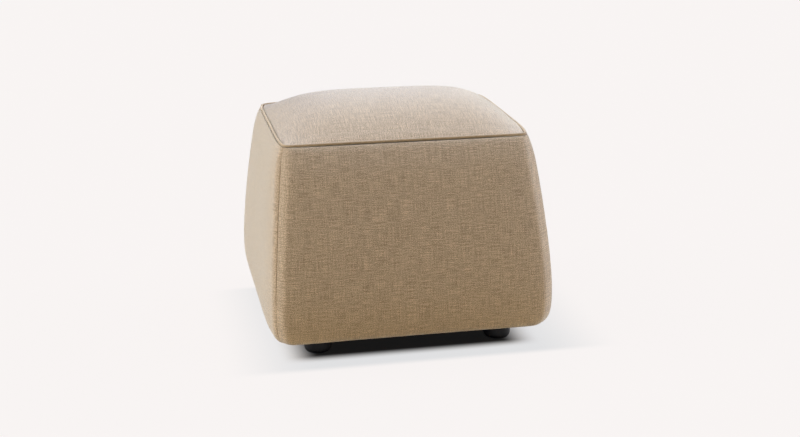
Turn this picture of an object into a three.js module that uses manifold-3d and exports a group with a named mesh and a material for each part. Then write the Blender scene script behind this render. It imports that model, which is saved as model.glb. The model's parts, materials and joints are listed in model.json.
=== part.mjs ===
// Gliding ottoman: a padded, crowned seat body that swings on four steel links over a low base on feet.
// Millimetres, +Z up. The origin is on the floor under the middle, and the front faces -Y.
import * as THREE from "three";
import { mergeVertices } from "three/addons/utils/BufferGeometryUtils.js";
import Module from "manifold-3d";

const wasm = await Module();
wasm.setup();

// Padded outline: the piped seam round the top, the widest level low down, and the hem under it
const seamHalfWidth = 223;
const seamHalfDepth = 168;
const seamHeight = 388;
const crownRise = 51.5;
const sideFlare = 33;
const endFlare = 91;
const widestHeight = 101;
const hemClearance = 6.7;
const hemTuck = 34;
const shoulderPuff = 7;
const shoulderDrop = 60;
const seamCornerRadius = 8;
const bodyCornerRadius = 20;
const seamBow = 6;
const bodyBow = 13;
const cornerDroop = 2;
const pipingRadius = 2.5;
const fabricThickness = 2;

// Powers that shape the curves: they have no unit
const crownAcrossPower = 4.6;
const crownDeepPower = 2.4;
const droopPower = 5;
const taperPower = 1.44;
const tuckPower = 3.44;
const bowPower = 6;

// Clearances
const seatingGap = 0.3;
const softGap = 0.4;
const cutOverrun = 1;

// Timber frame inside the padding
const boardThickness = 12;
const sidePadding = 11;
const shoulderReach = 11;
const hemPadding = 12;
const deckDrop = 31;
const deckCornerRadius = 10;
const deckHoleRadius = 12;
const deckHoleSpacingX = 110;
const deckHoleSpacingY = 82;
const cornerBlockWidth = 40;
const cornerBlockHeight = 95;
const hemLap = 8;

// Base: feet, flat bars, posts and cross tubes
const footInset = 26.5;
const footHeight = 26;
const footTopRadius = 26;
const footBottomRadius = 21.5;
const footEdgeRadius = 5;
const footStudRadius = 4;
const barWidth = 40;
const barThickness = 6;
const barCornerRadius = 6;
const postWidth = 25;
const postWall = 2;
const postCornerRadius = 2.5;
const postEdgeMargin = 0.5;
const postHeadroom = 18;
const crossTubeRadius = 11;
const crossTubeWall = 1.5;
const crossTubeDrop = 50;

// Glider links and their pivots
const pivotInset = 87;
const pivotClearance = 37.7;
const linkLength = 130;
const linkThickness = 5;
const linkWidth = 25;
const linkWaistWidth = 19;
const swingDegrees = 20;
const shankRadius = 4;
const collarRadius = 9;
const headRadius = 7.5;
const headThickness = 4;
const headChamfer = 1;
const shankGrip = 4;
const bearingWall = 2.2;
const bearingFlangeRadius = 9.5;
const bearingFlangeThickness = 1.2;
const postCollarLength = 6.4;
const railCollarLength = 4.1;

// Seat rails and their rubber stops
const railThickness = 3;
const railDepth = 44;
const railFlangeWidth = 19;
const railEndInset = 26;
const railBendRadius = 3;
const bumperRadius = 8;
const bumperOverlap = 12;
const bumperSquash = 0.5;
const bumperStudRadius = 3;

// How finely the curves are divided
const flatSteps = 6;
const cornerSteps = 2;
const flankSteps = 4;
const tuckSteps = 4;
const crownRingShares = [0.93, 0.82, 0.64, 0.36];
const shoulderRowShares = [0.25, 0.5];
const roundSegments = 12;
const linkArcSteps = 6;
const footSegments = 20;
const footEdgeSteps = 2;
const holeArcSteps = 6;
const bendSteps = 2;
const pipingSides = 8;
const slopeProbe = 0.25;

// Heights that follow from the sizes above, from the floor up
const barBottomHeight = footHeight + seatingGap;
const barTopHeight = barBottomHeight + barThickness;
const hemHeight = barTopHeight + hemClearance;
const boardBottomHeight = hemHeight + fabricThickness + seatingGap;
const lowerPivotHeight = barTopHeight + pivotClearance;
const railBottomHeight = lowerPivotHeight - railDepth / 2;
const upperPivotHeight = lowerPivotHeight + linkLength;
const crossTubeHeight = upperPivotHeight - crossTubeDrop;
const postTopHeight = upperPivotHeight + postHeadroom;
const deckTopHeight = seamHeight - deckDrop;
const deckBottomHeight = deckTopHeight - boardThickness;
const boardTopHeight = deckBottomHeight - seatingGap;

// Half widths, from the skin inwards to the feet
const widestHalfWidth = seamHalfWidth + sideFlare;
const frameHalfWidth = seamHalfWidth - sidePadding;
const frameInnerHalfWidth = frameHalfWidth - boardThickness;
const railInnerFace = frameInnerHalfWidth - seatingGap - railThickness;
const linkHalfStack = linkThickness / 2 + bearingFlangeThickness + 3 * seatingGap;
const linkCentre = railInnerFace - railCollarLength - linkHalfStack;
const postOuterFace = linkCentre - linkHalfStack - postCollarLength;
const postCentre = postOuterFace - postWidth / 2;
const footHalfSpacingX = postOuterFace - postWidth - postEdgeMargin + barWidth / 2;

// Half depths, from the skin inwards to the pivots
const widestHalfDepth = seamHalfDepth + endFlare;
const frameTopHalfDepth = seamHalfDepth + shoulderReach;
const frameBottomHalfDepth = widestHalfDepth - hemTuck - hemPadding;
const footHalfSpacingY = frameBottomHalfDepth - footInset;
const railHalfLength = frameBottomHalfDepth - railEndInset;
const pivotHalfSpacing = railHalfLength - pivotInset;
const glideTravel = linkLength * Math.sin(THREE.MathUtils.degToRad(swingDegrees));
const up = new THREE.Vector3(0, 0, 1);

// Materials, with the colours of the photographed piece where it shows
function material(colour, roughness, metalness) {
  return new THREE.MeshStandardMaterial({ color: colour, roughness, metalness });
}
const fabric = material(0xbfae93, 0.95, 0);
const pipingFabric = material(0xb09d80, 0.95, 0);
const foam = material(0xe9e2c8, 1, 0);
const plywood = material(0xc9a877, 0.8, 0);
const blackSteel = material(0x1c1c1e, 0.5, 0.6);
const bareSteel = material(0xb9bcc0, 0.35, 0.9);
const blackPlastic = material(0x1a1a1c, 0.55, 0);
const bearingPlastic = material(0xe6e4dc, 0.5, 0);
const rubber = material(0x232323, 0.9, 0);

const ottoman = new THREE.Group();

function add(name, geometry, finish, place = {}) {
  const mesh = new THREE.Mesh(geometry, finish);
  mesh.name = name;
  mesh.position.set(place.x ?? 0, place.y ?? 0, place.z ?? 0);
  mesh.rotation.set(0, 0, place.turnZ ?? 0);
  ottoman.add(mesh);
  return mesh;
}

// A closed solid from its corners and triangles, with its faces turned outwards
function solidGeometry(points, triangles) {
  const volume = triangles.reduce(
    (sum, [a, b, c]) => sum + points[a].dot(new THREE.Vector3().crossVectors(points[b], points[c])),
    0,
  );
  const facing = volume < 0 ? triangles.map(([a, b, c]) => [a, c, b]) : triangles;
  const geometry = new THREE.BufferGeometry().setFromPoints(points);
  geometry.setIndex(facing.flat());
  geometry.computeVertexNormals();
  return geometry;
}

// The solid between an outer and an inner sheet that have the same rows and columns
function solidBetweenSheets(outerRows, innerRows) {
  const rows = outerRows.length;
  const columns = outerRows[0].length;
  const lastRow = rows - 1;
  const lastColumn = columns - 1;
  const outer = (row, column) => row * columns + column;
  const inner = (row, column) => (rows + row) * columns + column;
  const triangles = [];
  const quad = (a, b, c, d) => triangles.push([a, b, c], [a, c, d]);
  for (let row = 0; row < lastRow; row++) {
    const under = row + 1;
    for (let column = 0; column < lastColumn; column++) {
      const next = column + 1;
      quad(outer(row, column), outer(row, next), outer(under, next), outer(under, column));
      quad(inner(row, column), inner(under, column), inner(under, next), inner(row, next));
    }
    quad(outer(row, 0), outer(under, 0), inner(under, 0), inner(row, 0));
    const [upper, lower] = [outer(row, lastColumn), outer(under, lastColumn)];
    quad(upper, inner(row, lastColumn), inner(under, lastColumn), lower);
  }
  for (let column = 0; column < lastColumn; column++) {
    const next = column + 1;
    quad(outer(0, column), inner(0, column), inner(0, next), outer(0, next));
    const [near, far] = [outer(lastRow, column), outer(lastRow, next)];
    quad(near, far, inner(lastRow, next), inner(lastRow, column));
  }
  return solidGeometry([...outerRows.flat(), ...innerRows.flat()], triangles);
}

// The solid through a stack of closed rings: it ends in a point at each end, or runs round to the first
function solidThroughRings(rings, firstPoint, lastPoint) {
  const count = rings[0].length;
  const points = rings.flat();
  const triangles = [];
  const joinRings = (low, high) => {
    for (let index = 0; index < count; index++) {
      const next = (index + 1) % count;
      const [a, b] = [low * count + index, low * count + next];
      const [c, d] = [high * count + next, high * count + index];
      triangles.push([a, b, c], [a, c, d]);
    }
  };
  for (let ring = 0; ring + 1 < rings.length; ring++) joinRings(ring, ring + 1);
  if (!firstPoint) {
    joinRings(rings.length - 1, 0);
    return solidGeometry(points, triangles);
  }
  const first = points.push(firstPoint) - 1;
  const last = points.push(lastPoint) - 1;
  const topRing = (rings.length - 1) * count;
  for (let index = 0; index < count; index++) {
    const next = (index + 1) % count;
    triangles.push([next, index, first], [topRing + index, topRing + next, last]);
  }
  return solidGeometry(points, triangles);
}

// Boolean cuts, on solids whose shared corners are merged
function manifoldOf(geometry) {
  const bare = geometry.clone();
  bare.deleteAttribute("normal");
  bare.deleteAttribute("uv");
  const merged = mergeVertices(bare);
  return new wasm.Manifold(
    new wasm.Mesh({
      numProp: 3,
      vertProperties: new Float32Array(merged.attributes.position.array),
      triVerts: new Uint32Array(merged.index.array),
    }),
  );
}

function cutAway(geometry, cutters) {
  let solid = manifoldOf(geometry);
  for (const cutter of cutters) solid = solid.subtract(manifoldOf(cutter));
  const mesh = solid.getMesh();
  const result = new THREE.BufferGeometry();
  const corners = new Float32Array(mesh.vertProperties);
  result.setAttribute("position", new THREE.BufferAttribute(corners, mesh.numProp));
  result.setIndex(new THREE.BufferAttribute(new Uint32Array(mesh.triVerts), 1));
  result.computeVertexNormals();
  return result;
}

// A turned piece: its profile is a list of [radius, place along the axis], and its axis runs along +Z
function turned(profile, segments = roundSegments) {
  const outline = profile.map(([radius, along]) => new THREE.Vector2(radius, along));
  return new THREE.LatheGeometry(outline, segments).rotateX(Math.PI / 2);
}

// The same piece with its axis along +X
function turnedAlongX(profile, segments) {
  return turned(profile, segments).rotateY(Math.PI / 2);
}

function roundedRectangle(halfWidth, halfHeight, radius) {
  const quarter = Math.PI / 2;
  const [right, top] = [halfWidth - radius, halfHeight - radius];
  return new THREE.Shape()
    .absarc(right, top, radius, 0, quarter)
    .absarc(-right, top, radius, quarter, 2 * quarter)
    .absarc(-right, -top, radius, 2 * quarter, 3 * quarter)
    .absarc(right, -top, radius, 3 * quarter, 4 * quarter);
}

function circleHole(x, y, radius) {
  return new THREE.Path().absarc(x, y, radius, 0, 2 * Math.PI, true);
}

function plate(shape, thickness, curveSegments) {
  return new THREE.ExtrudeGeometry(shape, { depth: thickness, bevelEnabled: false, curveSegments });
}

// A section drawn in the Y-Z plane, drawn out along X from one place to another
function alongX(outline, fromX, toX) {
  const shape = new THREE.Shape(outline.map(([y, z]) => new THREE.Vector2(y, z)));
  return plate(shape, toX - fromX, 1).applyMatrix4(
    new THREE.Matrix4().makeBasis(new THREE.Vector3(0, 1, 0), up, new THREE.Vector3(1, 0, 0)),
  ).translate(fromX, 0, 0);
}

// The padded outline at one height: half sizes, corner radius, bow of the sides and droop of the corners
function outlineAt(height) {
  const drop = Math.max(seamHeight - height, 0);
  const swell = Math.sqrt(1 - (1 - Math.min(drop / shoulderDrop, 1)) ** 2);
  const run = Math.min(drop / (seamHeight - widestHeight), 1);
  const spread = 1 - (1 - run) ** taperPower;
  const fall = Math.max(widestHeight - height, 0) / (widestHeight - hemHeight);
  const tuck = hemTuck * (1 - (1 - Math.min(fall, 1) ** tuckPower) ** (1 / tuckPower));
  const puff = shoulderPuff * swell - tuck;
  return {
    height,
    halfWidth: seamHalfWidth + puff + (widestHalfWidth - seamHalfWidth - shoulderPuff) * spread,
    halfDepth: seamHalfDepth + puff + (widestHalfDepth - seamHalfDepth - shoulderPuff) * spread,
    radius: seamCornerRadius + (bodyCornerRadius - seamCornerRadius) * swell,
    bow: seamBow + (bodyBow - seamBow) * swell,
    droop: cornerDroop * (1 - swell),
  };
}

// Outlines moved inwards, square to the skin
function insetOutlines(outlines, depth) {
  return outlines.map((outline, index) => {
    const above = outlines[Math.max(index - 1, 0)];
    const below = outlines[Math.min(index + 1, outlines.length - 1)];
    const run = (below.halfWidth + below.halfDepth - above.halfWidth - above.halfDepth) / 2;
    const rise = above.height - below.height;
    const inward = (depth * rise) / Math.hypot(run, rise);
    return {
      ...outline,
      halfWidth: outline.halfWidth - inward,
      halfDepth: outline.halfDepth - inward,
      radius: outline.radius - inward,
      height: outline.height - (depth * run) / Math.hypot(run, rise),
    };
  });
}

// The outline part of the way from an upper one to a lower one
function outlineBetween(upper, lower, share) {
  const sizes = Object.keys(upper).map((key) => [key, upper[key] + (lower[key] - upper[key]) * share]);
  return Object.fromEntries(sizes);
}

const sideNames = ["front", "right", "rear", "left"];
const facesFrontOrRear = (side) => side % 2 === 0;

// A point of one side: along it from left to right as seen from outside, and out from the middle
function sidePoint(side, along, out, height) {
  return new THREE.Vector3(along, -out, height).applyAxisAngle(up, (side * Math.PI) / 2);
}

// One row of points across a side, from the middle of one corner's curve to the middle of the next,
// closer together towards the corners, where the side bows most
function sideRow(outline, side, endGap) {
  const across = facesFrontOrRear(side) ? outline.halfWidth : outline.halfDepth;
  const out = facesFrontOrRear(side) ? outline.halfDepth : outline.halfWidth;
  const flat = across - outline.radius;
  const point = (along, angle) => {
    const bow = outline.bow * (1 - (Math.abs(along) / across) ** bowPower) * Math.cos(2 * angle);
    const reach = out - outline.radius * (1 - Math.cos(angle)) + bow;
    const corner = (Math.abs(along) / across) * Math.min(reach / out, 1);
    return sidePoint(side, along, reach, outline.height - outline.droop * corner ** droopPower);
  };
  const eighth = Math.PI / 4;
  const row = [];
  for (let step = 0; step < cornerSteps; step++) {
    const angle = eighth * (1 - step / cornerSteps);
    row.push(point(-flat - outline.radius * Math.sin(angle), angle));
  }
  for (let step = 0; step <= flatSteps; step++) {
    row.push(point(flat * Math.sin((Math.PI / 2) * ((2 * step) / flatSteps - 1)), 0));
  }
  for (let step = 1; step <= cornerSteps; step++) {
    const angle = (eighth * step) / cornerSteps;
    row.push(point(flat + outline.radius * Math.sin(angle), angle));
  }
  const shift = endGap / 2 / Math.SQRT2;
  row[0].add(sidePoint(side, shift, shift, 0));
  row[row.length - 1].add(sidePoint(side, -shift, shift, 0));
  return row;
}

// The whole ring at one outline
function outlineRing(outline) {
  return sideNames.flatMap((name, side) => sideRow(outline, side, 0).slice(0, -1));
}

// Heights at which the sides are drawn, from the seam down
function sideHeights() {
  const heights = [seamHeight - pipingRadius];
  for (const share of shoulderRowShares) heights.push(seamHeight - share * (seamHeight - deckTopHeight));
  heights.push(deckTopHeight);
  const flankTop = seamHeight - shoulderDrop;
  for (let step = 0; step <= flankSteps; step++) {
    heights.push(flankTop - ((flankTop - widestHeight) * step) / flankSteps);
  }
  for (let step = 1; step <= tuckSteps; step++) {
    heights.push(widestHeight - (widestHeight - hemHeight) * Math.sin((Math.PI / 2) * (step / tuckSteps)));
  }
  return heights;
}
const sideOutlines = sideHeights().map(outlineAt);
const hemOutline = sideOutlines[sideOutlines.length - 1];
const hemEdge = {
  ...hemOutline,
  halfWidth: frameHalfWidth - hemLap,
  halfDepth: frameBottomHalfDepth - hemLap,
  bow: 0,
};
const coverOutlines = [...sideOutlines, hemEdge];
const coverInnerOutlines = insetOutlines(coverOutlines, fabricThickness);
const paddingOutlines = insetOutlines(coverOutlines, fabricThickness + softGap);
const deckRow = shoulderRowShares.length + 1;

// The crowned top: its height over a point, and a point moved below it, square to the skin
function crownHeight(x, y) {
  const halfWidth = seamHalfWidth + seamBow * (1 - Math.min(Math.abs(y) / seamHalfDepth, 1) ** bowPower);
  const halfDepth = seamHalfDepth + seamBow * (1 - Math.min(Math.abs(x) / seamHalfWidth, 1) ** bowPower);
  const acrossShare = Math.min(Math.abs(x) / halfWidth, 1);
  const deepShare = Math.min(Math.abs(y) / halfDepth, 1);
  const droop = cornerDroop * (acrossShare * deepShare) ** droopPower;
  const rise = crownRise * (1 - acrossShare ** crownAcrossPower) * (1 - deepShare ** crownDeepPower);
  return seamHeight - droop + rise;
}

function crownPoint(x, y, depth) {
  const slopeX = (crownHeight(x + slopeProbe, y) - crownHeight(x - slopeProbe, y)) / (2 * slopeProbe);
  const slopeY = (crownHeight(x, y + slopeProbe) - crownHeight(x, y - slopeProbe)) / (2 * slopeProbe);
  const inward = new THREE.Vector3(slopeX, slopeY, -1).normalize();
  return new THREE.Vector3(x, y, crownHeight(x, y)).addScaledVector(inward, depth);
}

const seamOutline = outlineAt(seamHeight);
const topEdgeInset = pipingRadius + seatingGap;

// Rings of the top skin from its edge towards the middle
function crownRings(depth) {
  const edge = outlineRing({
    ...seamOutline,
    halfWidth: seamOutline.halfWidth - topEdgeInset,
    halfDepth: seamOutline.halfDepth - topEdgeInset,
    radius: seamOutline.radius - topEdgeInset,
  });
  return [1, ...crownRingShares].map((share) =>
    edge.map((point) => crownPoint(point.x * share, point.y * share, depth)),
  );
}

// Fabric covers: one crowned top panel and four side panels that turn under the frame
function buildCovers() {
  const topInner = crownRings(fabricThickness).reverse();
  const topOuter = crownRings(0);
  add(
    "top_cover",
    solidThroughRings([...topInner, ...topOuter], crownPoint(0, 0, fabricThickness), crownPoint(0, 0, 0)),
    fabric,
  );
  sideNames.forEach((name, side) => {
    const outer = coverOutlines.map((outline) => sideRow(outline, side, seatingGap));
    const inner = coverInnerOutlines.map((outline) => sideRow(outline, side, seatingGap));
    add(name + "_cover", solidBetweenSheets(outer, inner), fabric);
  });
}

// The piping runs round the seam as one closed cord
function buildPiping() {
  const ring = outlineRing(seamOutline);
  const sections = ring.map((point, index) => {
    const before = ring[(index + ring.length - 1) % ring.length];
    const after = ring[(index + 1) % ring.length];
    const along = after.clone().sub(before).normalize();
    const outward = new THREE.Vector3().crossVectors(along, up).normalize();
    const raised = new THREE.Vector3().crossVectors(outward, along);
    return Array.from({ length: pipingSides }, (unused, side) => {
      const angle = (2 * Math.PI * side) / pipingSides;
      return point
        .clone()
        .addScaledVector(outward, pipingRadius * Math.cos(angle))
        .addScaledVector(raised, pipingRadius * Math.sin(angle));
    });
  });
  add("seam_piping", solidThroughRings(sections), pipingFabric);
}

// How far out the timber frame's leaning front and rear reach at a height
function frameHalfDepthAt(height) {
  const share = Math.min((height - boardBottomHeight) / (deckBottomHeight - boardBottomHeight), 1);
  return frameBottomHalfDepth + (frameTopHalfDepth - frameBottomHalfDepth) * share;
}

// Foam pads between the timber and the covers, mitred at the corners, and one block under the top
function buildFoam() {
  const padOutlines = paddingOutlines.slice(deckRow, -1);
  sideNames.forEach((name, side) => {
    const outer = padOutlines.map((outline) => sideRow(outline, side, seatingGap));
    const inner = padOutlines.map((outline, row) => {
      const height = outline.height;
      const frameDepth = frameHalfDepthAt(height) + seatingGap;
      const frameWidth = frameHalfWidth + seatingGap;
      const across = (facesFrontOrRear(side) ? frameWidth : frameDepth) - seatingGap / 2;
      const out = facesFrontOrRear(side) ? frameDepth : frameWidth;
      const steps = outer[row].length - 1;
      const station = (index) => across * ((2 * index) / steps - 1);
      return outer[row].map((point, index) => sidePoint(side, station(index), out, height));
    });
    add(name + "_foam", solidBetweenSheets(outer, inner), foam);
  });

  const [upper, lower] = [paddingOutlines[deckRow - 1], paddingOutlines[deckRow]];
  const undersideShare = (upper.height - deckTopHeight - seatingGap) / (upper.height - lower.height);
  const underside = { ...outlineBetween(upper, lower, undersideShare), droop: 0 };
  const walls = [...paddingOutlines.slice(1, deckRow), underside].map(outlineRing);
  const seamBack = outlineRing({
    ...seamOutline,
    halfWidth: seamOutline.halfWidth - 2 * fabricThickness,
    halfDepth: seamOutline.halfDepth - 2 * fabricThickness,
    radius: seamOutline.radius - 2 * fabricThickness,
    height: seamHeight - pipingRadius - seatingGap,
  });
  const crown = crownRings(fabricThickness + softGap).reverse();
  add(
    "top_foam",
    solidThroughRings(
      [...crown, seamBack, ...walls],
      crownPoint(0, 0, fabricThickness + softGap),
      new THREE.Vector3(0, 0, underside.height),
    ),
    foam,
  );
}

// Plywood boards, deck and corner blocks
function buildFrame() {
  const innerHalfDepthAt = (height) => frameHalfDepthAt(height) - boardThickness;
  for (const [name, sign] of [["front", -1], ["rear", 1]]) {
    const corners = [
      [frameHalfDepthAt(boardBottomHeight), boardBottomHeight],
      [innerHalfDepthAt(boardBottomHeight), boardBottomHeight],
      [innerHalfDepthAt(boardTopHeight), boardTopHeight],
      [frameHalfDepthAt(boardTopHeight), boardTopHeight],
    ];
    const section = corners.map(([y, z]) => [sign * y, z]);
    add(name + "_board", alongX(section, -frameHalfWidth, frameHalfWidth), plywood);
  }
  const reach = (height) => innerHalfDepthAt(height) - seatingGap;
  for (const [name, sign] of [["left", -1], ["right", 1]]) {
    const corners = [
      [-reach(boardBottomHeight), boardBottomHeight],
      [reach(boardBottomHeight), boardBottomHeight],
      [reach(boardTopHeight), boardTopHeight],
      [-reach(boardTopHeight), boardTopHeight],
    ];
    const [from, to] = [sign * frameHalfWidth, sign * frameInnerHalfWidth].sort((a, b) => a - b);
    add(name + "_board", alongX(corners, from, to), plywood);
  }
  const deck = roundedRectangle(frameHalfWidth, frameHalfDepthAt(deckBottomHeight), deckCornerRadius);
  for (const column of [-1, 0, 1]) {
    for (const row of column ? [-1, 1] : [0]) {
      deck.holes.push(circleHole(column * deckHoleSpacingX, row * deckHoleSpacingY, deckHoleRadius));
    }
  }
  add("deck_board", plate(deck, boardThickness, holeArcSteps), plywood, { z: deckBottomHeight });

  const blockBottom = boardTopHeight - cornerBlockHeight;
  for (const [endName, endSign] of [["front", -1], ["rear", 1]]) {
    for (const [sideName, sideSign] of [["left", -1], ["right", 1]]) {
      const corners = [
        [reach(blockBottom), blockBottom],
        [reach(blockBottom) - cornerBlockWidth, blockBottom],
        [reach(boardTopHeight) - cornerBlockWidth, boardTopHeight],
        [reach(boardTopHeight), boardTopHeight],
      ].map(([y, z]) => [endSign * y, z]);
      const nearX = frameInnerHalfWidth - seatingGap;
      const [from, to] = [sideSign * nearX, sideSign * (nearX - cornerBlockWidth)].sort((a, b) => a - b);
      add(`${endName}_${sideName}_corner_block`, alongX(corners, from, to), plywood);
    }
  }
}

// Feet, base bars, posts and cross tubes
function buildBase() {
  const roundedEdge = Array.from({ length: footEdgeSteps + 1 }, (unused, step) => {
    const angle = (Math.PI / 2) * (step / footEdgeSteps);
    return [
      footBottomRadius - footEdgeRadius * (1 - Math.sin(angle)),
      footEdgeRadius * (1 - Math.cos(angle)),
    ];
  });
  const footProfile = [
    [0, 0],
    ...roundedEdge,
    [footTopRadius, footHeight],
    [footStudRadius, footHeight],
    [footStudRadius, barTopHeight],
    [0, barTopHeight],
  ];
  const barReach = footHalfSpacingX + barWidth / 2;
  for (const [endName, endSign] of [["front", -1], ["rear", 1]]) {
    const bar = roundedRectangle(barReach, barWidth / 2, barCornerRadius);
    for (const sign of [-1, 1]) {
      bar.holes.push(circleHole(sign * footHalfSpacingX, 0, footStudRadius + seatingGap));
    }
    add(endName + "_base_bar", plate(bar, barThickness, holeArcSteps), blackSteel, {
      y: endSign * footHalfSpacingY,
      z: barBottomHeight,
    });
    for (const [sideName, sideSign] of [["left", -1], ["right", 1]]) {
      add(`${endName}_${sideName}_foot`, turned(footProfile, footSegments), blackPlastic, {
        x: sideSign * footHalfSpacingX,
        y: endSign * footHalfSpacingY,
      });
    }
  }
  const runnerReach = footHalfSpacingY - barWidth / 2 - seatingGap;
  const runnerShape = roundedRectangle(barWidth / 2, runnerReach, seatingGap);
  for (const [sideName, sideSign] of [["left", -1], ["right", 1]]) {
    add(sideName + "_runner", plate(runnerShape, barThickness, 1), blackSteel, {
      x: sideSign * footHalfSpacingX,
      z: barBottomHeight,
    });
  }
  const postShape = roundedRectangle(postWidth / 2, postWidth / 2, postCornerRadius);
  const bore = postWidth / 2 - postWall;
  const boreCornerRadius = Math.max(postCornerRadius - postWall, seatingGap);
  postShape.holes.push(roundedRectangle(bore, bore, boreCornerRadius));
  const postHeight = postTopHeight - barTopHeight - seatingGap;
  const tubeReach = postOuterFace - postWidth - seatingGap;
  const tubeProfile = [
    [crossTubeRadius - crossTubeWall, -tubeReach],
    [crossTubeRadius, -tubeReach],
    [crossTubeRadius, tubeReach],
    [crossTubeRadius - crossTubeWall, tubeReach],
    [crossTubeRadius - crossTubeWall, -tubeReach],
  ];
  for (const [endName, endSign] of [["front", -1], ["rear", 1]]) {
    for (const [sideName, sideSign] of [["left", -1], ["right", 1]]) {
      const boltHole = turnedAlongX([
        [0, 0],
        [shankRadius + seatingGap, 0],
        [shankRadius + seatingGap, postWidth],
        [0, postWidth],
      ]).translate(0, 0, upperPivotHeight - barTopHeight - seatingGap);
      if (sideSign < 0) boltHole.rotateZ(Math.PI);
      add(
        `${endName}_${sideName}_post`,
        cutAway(plate(postShape, postHeight, bendSteps), [boltHole]),
        blackSteel,
        { x: sideSign * postCentre, y: endSign * pivotHalfSpacing, z: barTopHeight + seatingGap },
      );
    }
    add(endName + "_cross_tube", turnedAlongX(tubeProfile), blackSteel, {
      y: endSign * pivotHalfSpacing,
      z: crossTubeHeight,
    });
  }
}

// Links, bearings and pivot bolts: places are measured outwards along X and mirrored for the left side
function buildLinks() {
  const half = linkThickness / 2;
  const holeRadius = shankRadius + bearingWall + 2 * seatingGap;
  const eye = linkWidth / 2;
  const waist = linkWaistWidth / 2;
  const eyeAngle = Math.asin(waist / eye);
  const linkShape = new THREE.Shape()
    .absarc(0, 0, eye, Math.PI / 2 + eyeAngle, Math.PI / 2 - eyeAngle + 2 * Math.PI)
    .absarc(0, linkLength, eye, -Math.PI / 2 + eyeAngle, 1.5 * Math.PI - eyeAngle);
  linkShape.holes.push(circleHole(0, 0, holeRadius), circleHole(0, linkLength, holeRadius));
  const linkGeometry = plate(linkShape, linkThickness, linkArcSteps).applyMatrix4(
    new THREE.Matrix4().makeBasis(new THREE.Vector3(0, 1, 0), up, new THREE.Vector3(1, 0, 0)),
  ).translate(-half, 0, 0);

  // Places along X from the middle of the link, with the flanged side of the bearing at the positive end
  const flangeInner = half + seatingGap;
  const flangeOuter = flangeInner + bearingFlangeThickness;
  const boreRadius = shankRadius + seatingGap;
  const bushRadius = boreRadius + bearingWall;
  const bearingProfile = [
    [boreRadius, -flangeInner],
    [bushRadius, -flangeInner],
    [bushRadius, flangeInner],
    [bearingFlangeRadius, flangeInner],
    [bearingFlangeRadius, flangeOuter],
    [boreRadius, flangeOuter],
    [boreRadius, -flangeInner],
  ];
  const headFace = flangeInner + seatingGap;
  const boltProfile = (collarEnd, shankEnd) => [
    [0, -headFace - headThickness],
    [headRadius - headChamfer, -headFace - headThickness],
    [headRadius, -headFace - headThickness + headChamfer],
    [headRadius, -headFace],
    [shankRadius, -headFace],
    [shankRadius, flangeOuter + seatingGap],
    [collarRadius, flangeOuter + seatingGap],
    [collarRadius, collarEnd],
    [shankRadius, collarEnd],
    [shankRadius, shankEnd],
    [0, shankEnd],
  ];
  const upperCollarEnd = linkCentre - postOuterFace - seatingGap;
  const lowerCollarEnd = railInnerFace - linkCentre - seatingGap;
  const upperBolt = boltProfile(upperCollarEnd, upperCollarEnd + seatingGap + postWall + shankGrip);
  const lowerBolt = boltProfile(lowerCollarEnd, lowerCollarEnd + railThickness);

  for (const [endName, endSign] of [["front", -1], ["rear", 1]]) {
    for (const [sideName, sideSign] of [["left", -1], ["right", 1]]) {
      const corner = `${endName}_${sideName}`;
      const x = sideSign * linkCentre;
      const y = endSign * pivotHalfSpacing;
      const inwardTurn = sideSign > 0 ? Math.PI : 0;
      const outwardTurn = Math.PI - inwardTurn;
      add(corner + "_link", linkGeometry, bareSteel, { x, y, z: lowerPivotHeight });
      const upper = { x, y, z: upperPivotHeight, turnZ: inwardTurn };
      const lower = { x, y, z: lowerPivotHeight, turnZ: outwardTurn };
      add(corner + "_upper_bearing", turnedAlongX(bearingProfile), bearingPlastic, upper);
      add(corner + "_lower_bearing", turnedAlongX(bearingProfile), bearingPlastic, lower);
      add(corner + "_upper_pivot", turnedAlongX(upperBolt), bareSteel, upper);
      add(corner + "_lower_pivot", turnedAlongX(lowerBolt), bareSteel, lower);
    }
  }
}

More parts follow.
